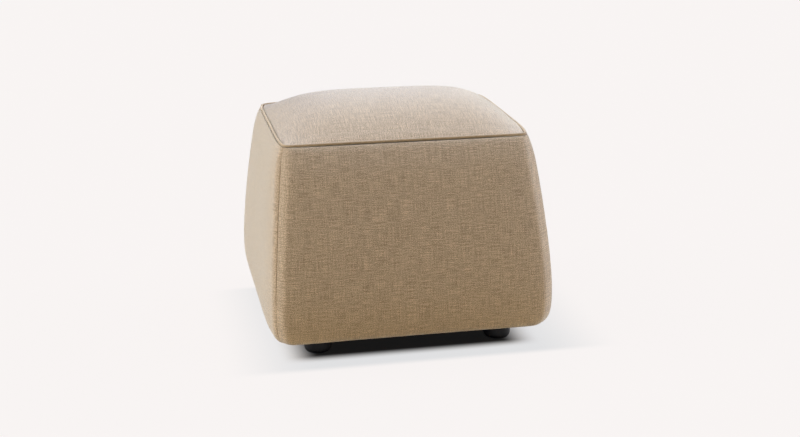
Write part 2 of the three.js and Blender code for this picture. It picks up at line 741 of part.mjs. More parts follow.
// Angle rails under the seat frame, and the rubber stops that meet the posts at the ends of the glide
function buildRails() {
  const boltHole = shankRadius + seatingGap;
  const studHole = bumperStudRadius + seatingGap;
  const stopPlace = pivotHalfSpacing + postWidth / 2 + glideTravel + bumperRadius + bumperSquash;
  const railOuterFace = railInnerFace + railThickness;
  const bend = railBendRadius;
  const top = railBottomHeight + railDepth;
  const flangeEdge = railOuterFace - railFlangeWidth;
  const railShape = new THREE.Shape();
  railShape.moveTo(flangeEdge, railBottomHeight);
  railShape.absarc(railOuterFace - bend, railBottomHeight + bend, bend, -Math.PI / 2, 0);
  railShape.lineTo(railOuterFace, top);
  railShape.lineTo(railInnerFace, top);
  railShape.lineTo(railInnerFace, railBottomHeight + railThickness);
  railShape.lineTo(flangeEdge, railBottomHeight + railThickness);
  const rail = plate(railShape, 2 * railHalfLength, bendSteps)
    .translate(0, 0, -railHalfLength)
    .rotateX(Math.PI / 2);
  const drill = (y, radius) =>
    turnedAlongX([
      [0, railInnerFace - cutOverrun],
      [radius, railInnerFace - cutOverrun],
      [radius, railOuterFace + cutOverrun],
      [0, railOuterFace + cutOverrun],
    ]).translate(0, y, lowerPivotHeight);
  const holes = [-1, 1].flatMap((sign) => [
    drill(sign * pivotHalfSpacing, boltHole),
    drill(sign * stopPlace, studHole),
  ]);
  const railGeometry = cutAway(rail, holes);
  const faceEnd = railInnerFace - seatingGap;
  const stopProfile = [
    [0, postOuterFace - bumperOverlap],
    [bumperRadius, postOuterFace - bumperOverlap],
    [bumperRadius, faceEnd],
    [bumperStudRadius, faceEnd],
    [bumperStudRadius, railOuterFace],
    [0, railOuterFace],
  ];
  for (const [sideName, turnZ] of [["left", Math.PI], ["right", 0]]) {
    add(sideName + "_seat_rail", railGeometry, blackSteel, { turnZ });
    for (const [endName, endSign] of [["front", -1], ["rear", 1]]) {
      const side = turnZ ? -1 : 1;
      add(
        `${endName}_${sideName}_stop`,
        turnedAlongX(stopProfile).translate(0, side * endSign * stopPlace, lowerPivotHeight),
        rubber,
        { turnZ },
      );
    }
  }
}

buildCovers();
buildPiping();
buildFoam();
buildFrame();
buildBase();
buildLinks();
buildRails();

export default ottoman;
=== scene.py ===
"""Gliding ottoman: sewn covers, piping, feet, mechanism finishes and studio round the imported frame.

Every size is in metres, in the frame's own axes: +Z is up and the seen front faces -Y.
"""

from __future__ import annotations

import json
import logging
import math
from dataclasses import dataclass, field
from enum import Enum
from typing import Any

import bpy
import numpy as np
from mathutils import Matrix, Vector, noise

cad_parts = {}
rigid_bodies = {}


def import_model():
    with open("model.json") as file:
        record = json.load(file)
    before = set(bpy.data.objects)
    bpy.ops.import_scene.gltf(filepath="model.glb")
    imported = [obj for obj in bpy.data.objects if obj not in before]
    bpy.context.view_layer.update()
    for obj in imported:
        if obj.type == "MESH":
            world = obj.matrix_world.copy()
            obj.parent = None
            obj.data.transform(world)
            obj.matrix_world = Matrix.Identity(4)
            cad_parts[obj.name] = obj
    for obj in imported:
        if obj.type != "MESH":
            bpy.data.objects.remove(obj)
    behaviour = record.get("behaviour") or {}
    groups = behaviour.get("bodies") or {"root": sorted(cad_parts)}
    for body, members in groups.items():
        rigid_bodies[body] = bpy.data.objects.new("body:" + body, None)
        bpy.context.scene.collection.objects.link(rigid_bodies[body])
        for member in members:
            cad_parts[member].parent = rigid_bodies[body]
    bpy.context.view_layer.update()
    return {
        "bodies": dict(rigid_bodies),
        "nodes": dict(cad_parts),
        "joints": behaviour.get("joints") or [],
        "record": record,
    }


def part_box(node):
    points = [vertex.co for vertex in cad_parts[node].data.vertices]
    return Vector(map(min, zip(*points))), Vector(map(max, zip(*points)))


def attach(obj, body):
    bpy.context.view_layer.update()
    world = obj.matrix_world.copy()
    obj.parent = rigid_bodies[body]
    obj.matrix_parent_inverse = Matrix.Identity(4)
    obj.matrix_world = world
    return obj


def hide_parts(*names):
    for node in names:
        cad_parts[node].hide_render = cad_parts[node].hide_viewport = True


LOG = logging.getLogger("ottoman")
MM = 0.001
SAME_PLACE = 0.01 * MM
TINY = 1e-9
QUARTER_TURN = math.pi / 2
HALF_CORNER = math.pi / 4
Array = np.ndarray
Triple = tuple[float, float, float]
Colour = Triple
Stations = list[tuple[float, float]]


class Side(Enum):
    """The four upholstered sides, by the quarter turns from the front."""

    FRONT = 0
    RIGHT = 1
    REAR = 2
    LEFT = 3

    @property
    def faces_front_or_rear(self) -> bool:
        """Whether the side spans the ottoman's width."""
        return self.value % 2 == 0


# Shader building


class Socket:
    """An output of a shader node that takes part in Python arithmetic."""

    def __init__(self, shader: Shader, output: bpy.types.NodeSocket) -> None:
        """Keeps the output and the shader that it belongs to."""
        self.shader = shader
        self.output = output

    def _math(self, operation: str, *values: Any) -> Socket:
        """Adds one Math node.

        Args:
            operation: The Math node's operation.
            values: Its inputs, as sockets or numbers.

        Returns:
            The node's result.
        """
        inputs = dict(enumerate(values))
        return self.shader.node("ShaderNodeMath", {"operation": operation}, inputs)

    def __add__(self, other: Any) -> Socket:
        """The sum."""
        return self._math("ADD", self, other)

    def __radd__(self, other: Any) -> Socket:
        """The sum, reflected."""
        return self._math("ADD", other, self)

    def __sub__(self, other: Any) -> Socket:
        """The difference."""
        return self._math("SUBTRACT", self, other)

    def __rsub__(self, other: Any) -> Socket:
        """The difference, reflected."""
        return self._math("SUBTRACT", other, self)

    def __mul__(self, other: Any) -> Socket:
        """The product."""
        return self._math("MULTIPLY", self, other)

    def __rmul__(self, other: Any) -> Socket:
        """The product, reflected."""
        return self._math("MULTIPLY", other, self)

    def magnitude(self) -> Socket:
        """The value without its sign."""
        return self._math("ABSOLUTE", self)

    def between(self, low: float, high: float) -> Socket:
        """The value's smooth climb from 0 to 1.

        Args:
            low: Where the climb starts.
            high: Where it ends.

        Returns:
            The climb.
        """
        inputs = {"Value": self, "From Min": low, "From Max": high}
        return self.shader.node("ShaderNodeMapRange", {"interpolation_type": "SMOOTHSTEP"}, inputs)


class Shader:
    """A material under construction."""

    def __init__(self, name: str, tree: bpy.types.NodeTree | None = None) -> None:
        """Starts a material, or clears another node tree.

        Args:
            name: The material's name.
            tree: The other tree, such as the world's.
        """
        if tree is None:
            self.material = bpy.data.materials.new(name)
            self.material.use_nodes = True
        self.tree = tree or self.material.node_tree
        self.tree.nodes.clear()

    @staticmethod
    def _pick(sockets: Any, key: str | int) -> bpy.types.NodeSocket:
        """Finds a socket among a node's inputs or outputs.

        Args:
            sockets: The node's inputs or outputs.
            key: A name, or a place in the list.

        Returns:
            The enabled socket with that name, or the one at that place.
        """
        if isinstance(key, int):
            return sockets[key]
        return next(socket for socket in sockets if socket.name == key and socket.enabled)

    def node(
        self,
        kind: str,
        settings: dict[str, Any] | None = None,
        inputs: dict[str | int, Any] | None = None,
        output: str | int = 0,
    ) -> Socket | None:
        """Adds a node.

        Args:
            kind: The node's type.
            settings: Its own settings, which are set first.
            inputs: Values or sockets for its inputs, by name or place.
            output: The output to hand back, by name or place.

        Returns:
            That output, or None where the node has none.
        """
        node = self.tree.nodes.new(kind)
        for key, value in (settings or {}).items():
            setattr(node, key, value)
        for key, value in (inputs or {}).items():
            socket = self._pick(node.inputs, key)
            if isinstance(value, Socket):
                self.tree.links.new(value.output, socket)
            elif isinstance(value, tuple) and len(value) == 3 and socket.type == "RGBA":
                socket.default_value = (*value, 1.0)
            else:
                socket.default_value = value
        if not node.outputs:
            return None
        return Socket(self, self._pick(node.outputs, output))

    def place(self, source: str = "Object", stretch: Triple = (1, 1, 1)) -> Socket:
        """Coordinates for a texture.

        Args:
            source: Object or UV.
            stretch: How many features there are to a metre along each axis.

        Returns:
            The scaled coordinates.
        """
        coordinates = self.node("ShaderNodeTexCoord", output=source)
        return self.node("ShaderNodeMapping", inputs={"Vector": coordinates, "Scale": stretch})

    def noise(self, place: Socket, detail: float = 2.0, roughness: float = 0.5) -> Socket:
        """Soft noise from 0 to 1.

        Args:
            place: The coordinates.
            detail: How many finer layers there are.
            roughness: How strong the finer layers are.

        Returns:
            The noise.
        """
        inputs = {"Vector": place, "Scale": 1.0, "Detail": detail, "Roughness": roughness}
        return self.node("ShaderNodeTexNoise", inputs=inputs)

    def even_noise(self, to_a_metre: float, detail: float = 2.0, roughness: float = 0.5) -> Socket:
        """Soft noise on Object coordinates, alike along each axis.

        Args:
            to_a_metre: How many features there are to a metre.
            detail: How many finer layers there are.
            roughness: How strong the finer layers are.

        Returns:
            The noise.
        """
        return self.noise(self.place("Object", (to_a_metre,) * 3), detail, roughness)

    def blend(self, factor: Any, first: Any, second: Any) -> Socket:
        """A mix of two colours."""
        inputs = {"Factor": factor, "A": first, "B": second}
        return self.node("ShaderNodeMix", {"data_type": "RGBA"}, inputs, "Result")

    def bump(self, height: Socket, distance: float) -> Socket:
        """A bumped normal, from a relief between 0 and 1 that is some metres deep."""
        return self.node("ShaderNodeBump", inputs={"Height": height, "Distance": distance})

    def surface(self, **inputs: Any) -> bpy.types.Material:
        """Finishes the material with one principled surface.

        Args:
            inputs: The surface's sockets, with underscores for spaces.

        Returns:
            The material.
        """
        named = {key.replace("_", " "): value for key, value in inputs.items()}
        closure = self.node("ShaderNodeBsdfPrincipled", inputs=named)
        return self.output(closure)

    def output(self, closure: Socket) -> bpy.types.Material:
        """Joins a closure to the material's output."""
        self.node("ShaderNodeOutputMaterial", inputs={"Surface": closure})
        return self.material


# Finishes


@dataclass(frozen=True)
class LinenWeave:
    """Slubbed plain weave on a panel's own UV map, which is in metres along the two threads."""

    name: str = "slubbed_linen"
    shade: Colour = (0.34, 0.232, 0.138)
    light: Colour = (0.90, 0.70, 0.485)
    thread: float = 1.3 * MM
    weft_length: float = 26 * MM
    warp_length: float = 47 * MM
    slub_length: float = 28 * MM
    grain: float = 1.25 * MM
    mottle_size: float = 60 * MM
    fineness: float = 0.7
    thread_span: tuple[float, float] = (0.3, 0.7)
    slub_span: tuple[float, float] = (0.66, 0.76)
    weft_share: float = 0.265
    warp_share: float = 0.185
    grain_share: float = 0.55
    contrast: float = 2.35
    slub_contrast: float = 0.5
    mottle_contrast: float = 0.05
    mean_tone: float = 0.372
    relief_depth: float = 0.4 * MM
    slub_relief: float = 0.35
    roughness: float = 0.92
    specular: float = 0.2
    sheen: float = 1.0
    sheen_roughness: float = 0.5
    sheen_tint: Colour = (1.0, 1.0, 1.0)

    def cells(self, shader: Shader, across: float, along: float, detail: float = 2.0) -> Socket:
        """Noise on the cloth, in cells of one size.

        Args:
            shader: The material under construction.
            across: A cell's size along the weft.
            along: Its size along the warp.
            detail: How many finer layers there are.

        Returns:
            The noise.
        """
        return shader.noise(shader.place("UV", (1 / across, 1 / along, 1)), detail, self.fineness)

    def material(self) -> bpy.types.Material:
        """Mixes the finish.

        Returns:
            Its material.
        """
        shader = Shader(self.name)
        weft = self.cells(shader, self.weft_length, self.thread).between(*self.thread_span)
        warp = self.cells(shader, self.thread, self.warp_length).between(*self.thread_span)
        grain = self.cells(shader, self.grain, self.grain, detail=1.0).between(*self.thread_span)
        slub = self.cells(shader, self.slub_length, self.thread, detail=1.0).between(*self.slub_span)
        mottle = self.cells(shader, self.mottle_size, self.mottle_size)
        threads = weft * self.weft_share + warp * self.warp_share + grain * self.grain_share
        tone = (threads - 0.5) * self.contrast + slub * self.slub_contrast + self.mean_tone
        return shader.surface(
            Base_Color=shader.blend(tone + (mottle - 0.5) * self.mottle_contrast, self.shade, self.light),
            Roughness=self.roughness,
            Sheen_Weight=self.sheen,
            Sheen_Roughness=self.sheen_roughness,
            Sheen_Tint=self.sheen_tint,
            Specular_IOR_Level=self.specular,
            Normal=shader.bump(threads + slub * self.slub_relief, self.relief_depth),
        )


@dataclass(frozen=True)
class PipingCloth:
    """The same cloth cut on the bias round the cord, on Object coordinates."""

    name: str = "bias_piping"
    shade: Colour = (0.36, 0.255, 0.155)
    light: Colour = (0.78, 0.60, 0.41)
    thread: float = 1.0 * MM
    thread_span: tuple[float, float] = (0.3, 0.7)
    fineness: float = 0.6
    patches: float = 120.0
    thread_share: float = 0.6
    patch_share: float = 0.35
    relief_depth: float = 0.25 * MM
    roughness: float = 0.9
    specular: float = 0.2
    sheen: float = 0.45
    sheen_roughness: float = 0.5

    def material(self) -> bpy.types.Material:
        """Mixes the finish.

        Returns:
            Its material.
        """
        shader = Shader(self.name)
        grain = shader.even_noise(1 / self.thread, roughness=self.fineness)
        patch = shader.even_noise(self.patches, detail=1.0)
        tone = grain.between(*self.thread_span) * self.thread_share + patch * self.patch_share
        return shader.surface(
            Base_Color=shader.blend(tone, self.shade, self.light),
            Roughness=self.roughness,
            Sheen_Weight=self.sheen,
            Sheen_Roughness=self.sheen_roughness,
            Specular_IOR_Level=self.specular,
            Normal=shader.bump(grain, self.relief_depth),
        )


@dataclass(frozen=True)
class PlatedSteel:
    """Sheet and bar steel, powder coated or zinc plated, with a faint peel and a cloudy gloss."""

    name: str
    colour: Colour
    roughness: float
    metallic: float = 0.0
    specular: float = 0.5
    peel_size: float = 1.6 * MM
    peel_depth: float = 0.02 * MM
    clouds: float = 28.0
    cloud_detail: float = 4.0
    cloud_fineness: float = 0.6
    cloud_share: float = 0.2
    gloss_change: float = 0.25

    def material(self) -> bpy.types.Material:
        """Mixes the finish.

        Returns:
            Its material.
        """
        shader = Shader(self.name)
        peel = shader.even_noise(1 / self.peel_size)
        cloud = shader.even_noise(self.clouds, self.cloud_detail, self.cloud_fineness)
        deep = tuple(part * (1 - self.cloud_share) for part in self.colour)
        return shader.surface(
            Base_Color=shader.blend(cloud, deep, self.colour),
            Metallic=self.metallic,
            Roughness=self.roughness + (cloud - 0.5) * self.gloss_change,
            Specular_IOR_Level=self.specular,
            Normal=shader.bump(peel, self.peel_depth),
        )


@dataclass(frozen=True)
class MouldedPlastic(PlatedSteel):
    """Satin moulded plastic, whose spark-eroded grain and clouds are finer than steel's."""

    specular: float = 0.25
    peel_size: float = 0.45 * MM
    peel_depth: float = 0.03 * MM
    clouds: float = 40.0
    cloud_detail: float = 3.0
    cloud_fineness: float = 0.5
    gloss_change: float = 0.16


@dataclass(frozen=True)
class Plywood:
    """Bare birch plywood with long grain and darker growth lines."""

    name: str = "birch_plywood"
    pale: Colour = (0.62, 0.46, 0.29)
    dark: Colour = (0.43, 0.28, 0.15)
    lines: Triple = (4, 200, 200)
    line_detail: float = 4.0
    line_fineness: float = 0.6
    line_span: tuple[float, float] = (0.35, 0.7)
    line_share: float = 0.8
    pores: Triple = (60, 1400, 1400)
    pore_span: tuple[float, float] = (0.55, 0.8)
    pore_share: float = 0.3
    relief_depth: float = 0.12 * MM
    roughness: float = 0.72

    def material(self) -> bpy.types.Material:
        """Mixes the finish.

        Returns:
            Its material.
        """
        shader = Shader(self.name)
        lines = shader.noise(shader.place("Object", self.lines), self.line_detail, self.line_fineness)
        pores = shader.noise(shader.place("Object", self.pores))
        grain = lines.between(*self.line_span) * self.line_share
        speckle = pores.between(*self.pore_span) * self.pore_share
        return shader.surface(
            Base_Color=shader.blend(grain + speckle, self.pale, self.dark),
            Roughness=self.roughness,
            Normal=shader.bump(pores + lines, self.relief_depth),
        )


@dataclass(frozen=True)
class OpenCells:
    """Foam or rubber with fine cells."""

    name: str
    pale: Colour
    dark: Colour
    cell_size: float
    cell_depth: float
    roughness: float = 0.95

    def material(self) -> bpy.types.Material:
        """Mixes the finish.

        Returns:
            Its material.
        """
        shader = Shader(self.name)
        inputs = {"Vector": shader.place(), "Scale": 1 / self.cell_size}
        cells = shader.node("ShaderNodeTexVoronoi", inputs=inputs)
        return shader.surface(
            Base_Color=shader.blend(cells, self.pale, self.dark),
            Roughness=self.roughness,
            Normal=shader.bump(cells, self.cell_depth),
        )


class Finish(Enum):
    """The record's material slots, each with the finish that it gets."""

    UPHOLSTERY = ("upholstery_fabric", LinenWeave())
    PIPING = ("piping_fabric", PipingCloth())
    FOAM = (
        "foam",
        OpenCells(
            "open_cell_foam",
            pale=(0.80, 0.74, 0.56),
            dark=(0.55, 0.49, 0.34),
            cell_size=1.2 * MM,
            cell_depth=0.4 * MM,
        ),
    )
    PLYWOOD = ("plywood", Plywood())
    BLACK_STEEL = (
        "black_steel",
        PlatedSteel("powder_coated_steel", colour=(0.020, 0.020, 0.022), roughness=0.42),
    )
    BARE_STEEL = (
        "bare_steel",
        PlatedSteel("zinc_plated_steel", colour=(0.62, 0.64, 0.66), roughness=0.32, metallic=1.0),
    )
    BLACK_PLASTIC = (
        "black_plastic",
        MouldedPlastic("moulded_black_plastic", colour=(0.009, 0.009, 0.011), roughness=0.5),
    )
    BEARING = (
        "bearing_plastic",
        MouldedPlastic("natural_acetal", colour=(0.80, 0.79, 0.73), roughness=0.38),
    )
    RUBBER = (
        "rubber",
        OpenCells(
            "matte_rubber",
            pale=(0.030, 0.030, 0.030),
            dark=(0.018, 0.018, 0.018),
            cell_size=0.8 * MM,
            cell_depth=0.05 * MM,
        ),
    )

    @property
    def slot(self) -> str:
        """The record's name for it."""
        return self.value[0]

    def material(self) -> bpy.types.Material:
        """The material, made once."""
        finish = self.value[1]
        return bpy.data.materials.get(finish.name) or finish.material()


# Mesh helpers


def smooth_climb(share: Array) -> Array:
    """A climb from 0 to 1 that is level at both ends."""
    return share * share * (3 - 2 * share)


class Workshop:
    """Small operations that every piece shares."""

    @staticmethod
    def only(piece: bpy.types.Object) -> None:
        """Makes one piece the only selected and active one.

        Args:
            piece: The piece.
        """
        bpy.ops.object.select_all(action="DESELECT")
        piece.select_set(True)
        bpy.context.view_layer.objects.active = piece

    @staticmethod
    def grid(name: str, columns: int, rows: int) -> tuple[bpy.types.Object, Array, Array]:
        """Adds a flat grid.

        Args:
            name: The piece's name.
            columns: Vertices across.
            rows: Vertices down.

        Returns:
            The piece, and each vertex's column from the left and row from the top.
        """
        bpy.ops.object.select_all(action="DESELECT")
        bpy.ops.mesh.primitive_grid_add(x_subdivisions=columns - 1, y_subdivisions=rows - 1, size=1)
        piece = bpy.context.active_object
        piece.name = piece.data.name = name
        places = Workshop.points(piece)
        column = np.rint((places[:, 0] + 0.5) * (columns - 1)).astype(int)
        row = np.rint((0.5 - places[:, 1]) * (rows - 1)).astype(int)
        return piece, column, row

    @staticmethod
    def points(piece: bpy.types.Object) -> Array:
        """Reads a piece's vertices.

        Args:
            piece: The piece.

        Returns:
            Their places, one to a row.
        """
        flat = np.empty(3 * len(piece.data.vertices))
        piece.data.vertices.foreach_get("co", flat)
        return flat.reshape(-1, 3)

    @staticmethod
    def move(piece: bpy.types.Object, points: Array) -> None:
        """Gives the piece's vertices new places."""
        piece.data.vertices.foreach_set("co", np.ascontiguousarray(points, float).ravel())
        piece.data.update()

    @staticmethod
    def map_cloth(piece: bpy.types.Object, across: Array, along: Array) -> None:
        """Writes a UV map in metres.

        Args:
            piece: The piece.
            across: Each vertex's place along the weft.
            along: Each vertex's place along the warp.
        """
        corner = np.empty(len(piece.data.loops), int)
        piece.data.loops.foreach_get("vertex_index", corner)
        layer = piece.data.uv_layers.active or piece.data.uv_layers.new(name="UVMap")
        layer.data.foreach_set("uv", np.stack([across[corner], along[corner]], -1).ravel())

    @staticmethod
    def turn_outwards(piece: bpy.types.Object) -> None:
        """Merges a piece's doubles and points its faces outwards.

        Args:
            piece: The piece.
        """
        Workshop.only(piece)
        bpy.ops.object.mode_set(mode="EDIT")
        bpy.ops.mesh.select_all(action="SELECT")
        bpy.ops.mesh.remove_doubles(threshold=SAME_PLACE)
        bpy.ops.mesh.normals_make_consistent(inside=False)
        bpy.ops.object.mode_set(mode="OBJECT")

    @staticmethod
    def apply(piece: bpy.types.Object) -> None:
        """Applies every modifier of a piece, in their order.

        Args:
            piece: The piece.
        """
        Workshop.only(piece)
        for modifier in list(piece.modifiers):
            bpy.ops.object.modifier_apply(modifier=modifier.name)

    @staticmethod
    def dress(piece: bpy.types.Object, finish: Finish, body: str, nodes: list[str]) -> None:
        """Gives a finished piece its material and its place in the part.

        Args:
            piece: The piece.
            finish: Its finish, which also names its slot.
            body: The body that it rides on.
            nodes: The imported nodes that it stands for.
        """
        piece.data.materials.clear()
        piece.data.materials.append(finish.material())
        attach(piece, body)
        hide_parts(*nodes)
        LOG.info("%s: %d faces, rides on %s", piece.name, len(piece.data.polygons), body)


@dataclass
class Turning:
    """An upright turned piece, spun from its section."""

    name: str
    section: Stations
    steps: int
    smooth_angle: float = math.radians(28)
    link: float = 10 * MM

    def build(self, place: Triple) -> bpy.types.Object:
        """Spins the section about the upright axis.

        Args:
            place: Where the section's zero is.

        Returns:
            The piece, with its place in its mesh.
        """
        bpy.ops.object.select_all(action="DESELECT")
        bpy.ops.mesh.primitive_plane_add(size=1)
        piece = bpy.context.active_object
        piece.name = piece.data.name = self.name
        bpy.ops.object.mode_set(mode="EDIT")
        bpy.ops.mesh.select_all(action="SELECT")
        bpy.ops.mesh.merge(type="CENTER")
        for _ in self.section[1:]:
            bpy.ops.mesh.extrude_region_move(TRANSFORM_OT_translate={"value": (self.link, 0, 0)})
        bpy.ops.object.mode_set(mode="OBJECT")
        order = np.argsort(Workshop.points(piece)[:, 0])
        chain = np.zeros((len(self.section), 3))
        chain[order] = [(radius, 0, height) for radius, height in self.section]
        Workshop.move(piece, chain)
        bpy.ops.object.mode_set(mode="EDIT")
        bpy.ops.mesh.select_all(action="SELECT")
        bpy.ops.mesh.spin(steps=self.steps, angle=math.tau, center=(0, 0, 0), axis=(0, 0, 1))
        bpy.ops.object.mode_set(mode="OBJECT")
        Workshop.turn_outwards(piece)
        Workshop.move(piece, Workshop.points(piece) + np.array(place))
        bpy.ops.object.shade_smooth_by_angle(angle=self.smooth_angle)
        return piece


# Upholstery


@dataclass(frozen=True)
class BodyOutline:
    """The padded body's outline at every height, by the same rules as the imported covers."""

    seam_half_width: float = 0.223
    seam_half_depth: float = 0.168
    seam_height: float = 0.388
    crown_rise: float = 0.0515
    widest_half_width: float = 0.256
    widest_half_depth: float = 0.259
    widest_height: float = 0.101
    hem_height: float = 0.039
    hem_tuck: float = 0.034
    shoulder_puff: float = 0.0058
    shoulder_drop: float = 0.060
    seam_corner_radius: float = 0.008
    body_corner_radius: float = 0.018
    seam_bow: float = 0.006
    body_bow: float = 0.013
    corner_droop: float = 0.002
    hem_droop: float = 0.006
    crown_across_power: float = 4.6
    crown_deep_power: float = 2.4
    droop_power: float = 5.0
    taper_power: float = 1.44
    tuck_power: float = 3.44
    bow_power: float = 7.0
    hem_edge_half_width: float = 0.204
    hem_edge_half_depth: float = 0.205
    piping_radius: float = 0.0025

    def at(self, height: Array) -> dict[str, Array]:
        """The outline's sizes at some heights.

        Args:
            height: Heights above the floor.

        Returns:
            Half sizes, corner radius, bow and droop at each height.
        """
        drop = np.maximum(self.seam_height - height, 0)
        swell = np.sqrt(1 - (1 - np.minimum(drop / self.shoulder_drop, 1)) ** 2)
        run = np.minimum(drop / (self.seam_height - self.widest_height), 1)
        spread = 1 - (1 - run) ** self.taper_power
        fall = np.clip((self.widest_height - height) / (self.widest_height - self.hem_height), 0, 1)
        tuck = self.hem_tuck * (1 - (1 - fall**self.tuck_power) ** (1 / self.tuck_power))
        puff = self.shoulder_puff * swell - tuck
        flare = self.widest_half_width - self.seam_half_width - self.shoulder_puff
        lean = self.widest_half_depth - self.seam_half_depth - self.shoulder_puff
        return {
            "height": height,
            "half_width": self.seam_half_width + puff + flare * spread,
            "half_depth": self.seam_half_depth + puff + lean * spread,
            "radius": self.seam_corner_radius + (self.body_corner_radius - self.seam_corner_radius) * swell,
            "bow": self.seam_bow + (self.body_bow - self.seam_bow) * swell,
            "droop": self.corner_droop * (1 - swell) + self.hem_droop * fall**2,
        }

    def crown(self, x: Array, y: Array) -> Array:
        """The crowned top's height over some places.

        Args:
            x: Places across.
            y: Places from front to rear.

        Returns:
            The heights.
        """
        deep = np.minimum(np.abs(y) / self.seam_half_depth, 1)
        wide = np.minimum(np.abs(x) / self.seam_half_width, 1)
        bow_x, bow_y = (self.seam_bow * (1 - share**self.bow_power) for share in (deep, wide))
        xi = np.minimum(np.abs(x) / (self.seam_half_width + bow_x), 1)
        eta = np.minimum(np.abs(y) / (self.seam_half_depth + bow_y), 1)
        droop = self.corner_droop * (xi * eta) ** self.droop_power
        rise = self.crown_rise * (1 - xi**self.crown_across_power) * (1 - eta**self.crown_deep_power)
        return self.seam_height - droop + rise


@dataclass
class SewnPanel:
    """A padded panel with rolled, sewn edges, swollen by a cloth simulation."""

    name: str
    outline: BodyOutline
    spacing: float = 5 * MM
    roll_radius: float = 1.1 * MM
    piping_roll: float = 1.6 * MM
    flap: float = 3 * MM
    cloth_thickness: float = 1.2 * MM
    flap_step: float = 0.4
    roll_turns: tuple[float, ...] = (90, 62, 32, 0)
    sewn_steps: tuple[float, ...] = (2.6 * MM, 4.4 * MM, 7.5 * MM)
    stapled_step: float = 4 * MM
    pinned_edge: float = 6 * MM
    start_inset: float = 3 * MM
    inset_reach: float = 45 * MM
    swelling_cap: float = 0.8 * MM
    pressure: float = 4.0
    stiffness: float = 5.0
    bending: float = 2.0
    cloth_mass: float = 0.3
    quality: int = 5
    frames: int = 20
    probe: float = 0.1 * MM
    fill: float = 0.85
    pucker: float = 0.35 * MM
    pucker_pitch: float = 9 * MM
    pucker_reach: float = 14 * MM

    def rolled_edge(self, roll: float) -> Stations:
        """Stations of a sewn edge, from its flap to the plain skin.

        Args:
            roll: The radius of the cloth's roll into the seam.

        Returns:
            How far each station is from the seam, and how deep it is sunk.
        """
        sunk = [(0.0, roll + self.flap), (0.0, roll + self.flap * self.flap_step)]
        turns = [math.radians(degrees) for degrees in self.roll_turns]
        rolled = [(roll * (1 - math.sin(turn)), roll * (1 - math.cos(turn))) for turn in turns]
        return sunk + rolled + [(step, 0.0) for step in self.sewn_steps]

    def stapled_edge(self) -> Stations:
        """Stations of a plain edge that is stapled out of sight."""
        return [(0.0, 0.0), (self.stapled_step, 0.0)]

    def stations(self, length: float, first: Stations, last: Stations) -> tuple[Array, Array, Array]:
        """Stations from one edge to the other.

        Args:
            length: A middling length of the panel there.
            first: The first edge's stations.
            last: The last edge's stations.

        Returns:
            Each station's share between the edges' innermost stations, its distance from the nearer
            seam (or nan in the middle), and its depth.
        """
        inner = length - first[-1][0] - last[-1][0]
        count = max(int(round(inner / self.spacing)), 4)
        shares = np.concatenate([np.zeros(len(first)), np.arange(1, count) / count, np.ones(len(last))])
        middle = [(math.nan, 0.0)] * (count - 1)
        both = np.array([*first, *middle, *reversed(last)])
        return shares, both[:, 0], both[:, 1]

    @staticmethod
    def spread(
        shares: Array, gaps: Array, low: Array, high: Array, first: Stations, last: Stations
    ) -> Array:
        """Places of the stations between two edges.

        Args:
            shares: Shares between the edges' innermost stations.
            gaps: Distances from the nearer edge, nan in the middle.
            low: The first edge's place.
            high: The last edge's place.
            first: The first edge's stations.
            last: The last edge's stations.

        Returns:
            The places.
        """
        inner = low + first[-1][0] + (high - low - first[-1][0] - last[-1][0]) * shares
        return np.where(np.isnan(gaps), inner, np.where(shares < 0.5, low + gaps, high - gaps))

    def skin(self, across: Array, down: Array) -> Array:
        """Points of the panel's plain skin at some places on it."""
        raise NotImplementedError

    def outward(self, across: Array, down: Array) -> Array:
        """The skin's outward directions.

        Args:
            across: Places across the panel.
            down: Places down the panel.

        Returns:
            The directions, of length 1.
        """
        step = self.probe
        along = self.skin(across + step, down) - self.skin(across - step, down)
        fall = self.skin(across, down + step) - self.skin(across, down - step)
        normal = np.cross(fall, along)
        return normal / np.linalg.norm(normal, axis=-1, keepdims=True)

    def add_cloth(self, piece: bpy.types.Object, pinned: Array) -> bpy.types.Modifier:
        """Adds the cloth simulation.

        Args:
            piece: The panel, with its start shape.
            pinned: Which points the seams hold.

        Returns:
            The cloth modifier.
        """
        group = piece.vertex_groups.new(name="sewn")
        group.add(np.flatnonzero(pinned).tolist(), 1.0, "REPLACE")
        cloth = piece.modifiers.new("Swell", "CLOTH")
        settings = cloth.settings
        settings.quality = self.quality
        settings.mass = self.cloth_mass
        settings.tension_stiffness = settings.compression_stiffness = self.stiffness
        settings.shear_stiffness = self.stiffness
        settings.bending_stiffness = self.bending
        settings.use_pressure = True
        settings.uniform_pressure_force = self.pressure
        settings.effector_weights.gravity = 0
        settings.vertex_group_mass = group.name
        cloth.collision_settings.use_collision = False
        cloth.point_cache.frame_start, cloth.point_cache.frame_end = 1, self.frames
        return cloth

    def swell(self, piece: bpy.types.Object, target: Array, normal: Array, pinned: Array) -> None:
        """Lets the padding press the cloth out, and keeps it close to the fitted skin.

        Args:
            piece: The panel, with its start shape.
            target: The fitted skin's points.
            normal: The skin's outward directions there.
            pinned: Which points the seams hold.
        """
        cloth = self.add_cloth(piece, pinned)
        for frame in range(1, self.frames + 1):
            bpy.context.scene.frame_set(frame)
        Workshop.only(piece)
        bpy.ops.object.modifier_apply(modifier=cloth.name)
        bpy.context.scene.frame_set(1)
        moved = Workshop.points(piece) - target
        rise = np.sum(moved * normal, axis=1)
        LOG.info("%s swells %.1f to %.1f mm past its skin", self.name, rise.min() / MM, rise.max() / MM)
        held = np.clip(rise, -self.swelling_cap, self.swelling_cap)
        Workshop.move(piece, Workshop.points(piece) + normal * (held - rise)[:, None])
        piece.vertex_groups.clear()

